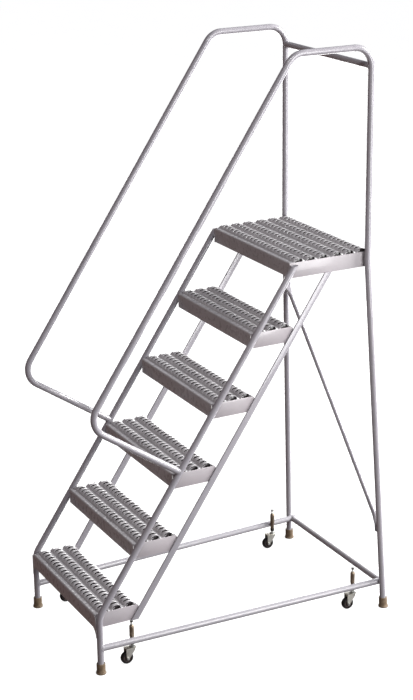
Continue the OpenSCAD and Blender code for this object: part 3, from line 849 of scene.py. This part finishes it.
def make_brace():
    """The diagonal brace: a tube with flattened ends along the legs, and its two bolts."""
    normal = Vector((0, FLARE_H, FLARE_BACK)).normalized()
    inward = Vector((1, 0, 0))
    bolts = island_centres("brace_bolts")
    top = bolts[0] - inward * BRACE_TAB_OFF
    low = bolts[1] + inward * BRACE_TAB_OFF
    path = brace_path(top, low, inward)
    sides = 28
    tube_half, flat_half, flat_wide = 9.5 * MM, 2 * MM, 14 * MM
    bm = bmesh.new()
    rings = []
    for i, (middle, blend) in enumerate(path):
        ahead = (path[min(i + 1, len(path) - 1)][0] - path[max(i - 1, 0)][0]).normalized()
        thick_way = normal.cross(ahead).normalized()
        end = min((middle - path[0][0]).length, (middle - path[-1][0]).length)
        tip = min(1, max(0.02, end / (7 * MM)))
        wide = (flat_wide + (tube_half - flat_wide) * blend) * math.sqrt(1 - (1 - tip) ** 2 * 0.55)
        thick = flat_half + (tube_half - flat_half) * blend
        power = 0.3 + 0.7 * blend
        ring = []
        for j in range(sides):
            a = 2 * math.pi * j / sides
            c, d = math.cos(a), math.sin(a)
            x = math.copysign(abs(c) ** power, c) * wide
            y = math.copysign(abs(d) ** power, d) * thick
            ring.append(bm.verts.new(middle + normal * x + thick_way * y))
        rings.append(ring)
    for a, b in zip(rings, rings[1:]):
        for j in range(sides):
            k = (j + 1) % sides
            bm.faces.new((a[j], a[k], b[k], b[j]))
    bm.faces.new(rings[0][::-1])
    bm.faces.new(rings[-1])
    piece = make_object("flattened_rear_brace", bm)
    finish_piece(piece, "frame", "frame_paint", "rear_brace")
    bm = bmesh.new()
    for point, way in ((top, inward), (low, -inward)):
        place = Matrix.Translation(point) @ way.to_track_quat("Z", "Y").to_matrix().to_4x4()
        washer = [(0, 1.9 * MM), (8 * MM, 1.9 * MM), (8 * MM, 3 * MM), (0, 3 * MM)]
        lathe(bm, washer, place, 32)
        hexagon(bm, place, 10.4 * MM, 3 * MM, 6.1 * MM)
    finish_piece(make_object("brace_screws", bm), "frame", "zinc", "brace_bolts")


# ---------------------------------------------------------------- studio

def make_floor():
    """A plain pale floor, wide enough to fill the view."""
    bm = bmesh.new()
    bmesh.ops.create_grid(bm, x_segments=8, y_segments=8, size=60)
    floor = make_object("studio_floor", bm)
    material, tree, shader = new_material("floor_pale")
    place = object_coordinates(tree)
    grain = noise_node(tree, 3, 4, place)
    tone = ramp_node(tree, grain.outputs["Fac"], [(0.3, 0.28), (0.7, 0.30)])
    tree.links.new(tone.outputs["Color"], shader.inputs["Base Color"])
    shader.inputs["Roughness"].default_value = 1
    shader.inputs["Specular IOR Level"].default_value = 0
    shader.inputs["Emission Color"].default_value = (1, 1, 1, 1)
    shader.inputs["Emission Strength"].default_value = 0.9
    floor.data.materials.append(material)
    floor.location.z = -0.1 * MM
    floor.visible_diffuse = False
    floor.visible_glossy = False


def make_world():
    """Pale to the camera; as a light, bright above and behind, dim and warm in front."""
    world = bpy.data.worlds.new("studio")
    bpy.context.scene.world = world
    world.use_nodes = True
    tree = world.node_tree
    tree.nodes.clear()
    output = tree.nodes.new("ShaderNodeOutputWorld")
    place = tree.nodes.new("ShaderNodeTexCoord")
    toward = tree.nodes.new("ShaderNodeVectorMath")
    toward.operation = "DOT_PRODUCT"
    tree.links.new(place.outputs["Generated"], toward.inputs[0])
    toward.inputs[1].default_value = Vector((0.40, 0.76, 0.51)).normalized()
    level = math_node(tree, "MULTIPLY_ADD", toward.outputs["Value"], 0.5)
    level.node.inputs[2].default_value = 0.5
    sky = ramp_node(tree, level, [
        (0.0, (0.24, 0.15, 0.13)),
        (0.25, (0.28, 0.19, 0.18)),
        (0.5, (0.38, 0.35, 0.37)),
        (0.75, (0.80, 0.84, 0.93)),
        (1.0, (1.0, 1.0, 1.0)),
    ])
    studio = tree.nodes.new("ShaderNodeBackground")
    tree.links.new(sky.outputs["Color"], studio.inputs["Color"])
    studio.inputs["Strength"].default_value = 0.5
    white = tree.nodes.new("ShaderNodeBackground")
    white.inputs["Strength"].default_value = 0.95
    paths = tree.nodes.new("ShaderNodeLightPath")
    mix = tree.nodes.new("ShaderNodeMixShader")
    tree.links.new(paths.outputs["Is Camera Ray"], mix.inputs["Fac"])
    tree.links.new(studio.outputs[0], mix.inputs[1])
    tree.links.new(white.outputs[0], mix.inputs[2])
    tree.links.new(mix.outputs[0], output.inputs["Surface"])


def soft_box(name, place, target, width, height, power):
    """A rectangular area light aimed at a point."""
    light = bpy.data.lights.new(name, "AREA")
    light.shape = "RECTANGLE"
    light.size = width
    light.size_y = height
    light.energy = power
    obj = bpy.data.objects.new(name, light)
    bpy.context.scene.collection.objects.link(obj)
    obj.visible_camera = False
    obj.location = place
    obj.rotation_euler = (Vector(target) - Vector(place)).to_track_quat("-Z", "Y").to_euler()


def make_camera():
    """The main view: a long lens, from the right and in front, looking slightly down."""
    azimuth = math.radians(62.296)
    elevation = math.radians(18.922)
    roll = math.radians(-0.692)
    target = Vector((0, 0.01446, 1.11954))
    distance = 6.7612
    back = Vector((
        math.sin(azimuth) * math.cos(elevation),
        -math.cos(azimuth) * math.cos(elevation),
        math.sin(elevation),
    ))
    level = Vector((math.cos(azimuth), math.sin(azimuth), 0))
    right = level * math.cos(roll) + back.cross(level) * math.sin(roll)
    up = back.cross(right)
    camera = bpy.data.cameras.new("camera")
    camera.sensor_fit = "VERTICAL"
    camera.sensor_height = 36
    camera.lens = 87.23
    obj = bpy.data.objects.new("camera", camera)
    bpy.context.scene.collection.objects.link(obj)
    turn = Matrix((right, up, back)).transposed().to_4x4()
    obj.matrix_world = Matrix.Translation(target + back * distance) @ turn
    bpy.context.scene.camera = obj
    return right, back


def make_studio():
    """Camera, floor, world and four soft boxes."""
    right, back = make_camera()
    make_floor()
    make_world()
    middle = Vector((0, 0, 1.1))
    soft_box("key_back", middle + Vector((1.6, 5.0, 2.4)), middle, 2.6, 2.2, 640)
    soft_box("side_fill", middle + right * 3.0 + back * 2.6, middle, 1.6, 3.2, 105)
    soft_box("backdrop", middle - back * 4.4 + right * 0.8, middle, 6.4, 4.0, 340)
    soft_box("front_strip", middle + back * 3.6 + Vector((0, 0, 3.6)), middle, 3.4, 0.3, 70)
    bpy.context.scene.view_settings.view_transform = "Standard"


make_studio()
dress_cad_nodes()
make_planks()
make_plates()
make_welds()
make_feet()
make_casters()
make_brace()
